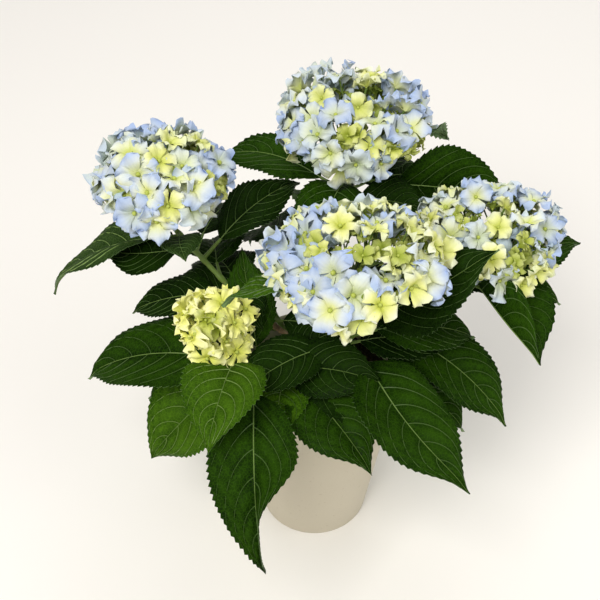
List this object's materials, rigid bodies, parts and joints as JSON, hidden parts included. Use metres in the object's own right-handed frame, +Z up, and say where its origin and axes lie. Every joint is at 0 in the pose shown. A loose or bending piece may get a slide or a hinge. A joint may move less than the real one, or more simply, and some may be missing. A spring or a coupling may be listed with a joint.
{
  "type": "potted hydrangea",
  "caption": "Small flowering hydrangea in a plain tapered pot: woody canes with broad toothed leaves and domed flower heads.",
  "frame": {"origin": "centre of the pot's flat underside, on the surface that it stands on", "axes": "+Z up the plant, -Y towards the front that the picture shows, +X to that view's right"},
  "size_m": [0.3417, 0.2784, 0.2857],
  "materials": {
    "pot": "matte",
    "soil": "matte",
    "wood": "matte",
    "leaf": "satin",
    "bloom_blue": "matte",
    "bloom_lime": "matte"
  },
  "bodies": {
    "root": {"pot": "pot", "soil": "soil", "trunk": "wood", "bough_left": "wood", "foliage_left": "leaf", "bloom_left": "bloom_blue", "bough_back": "wood", "foliage_back": "leaf", "bloom_back": "bloom_blue", "bough_front": "wood", "foliage_front": "leaf", "bloom_front": "bloom_blue", "bough_right": "wood", "foliage_right": "leaf", "bloom_right": "bloom_blue", "bough_small": "wood", "foliage_small": "leaf", "bloom_small": "bloom_lime", "foliage_low_back_left": "leaf", "foliage_low_back_right": "leaf", "foliage_low_right": "leaf", "foliage_low_left": "leaf"}
  },
  "joints": []
}
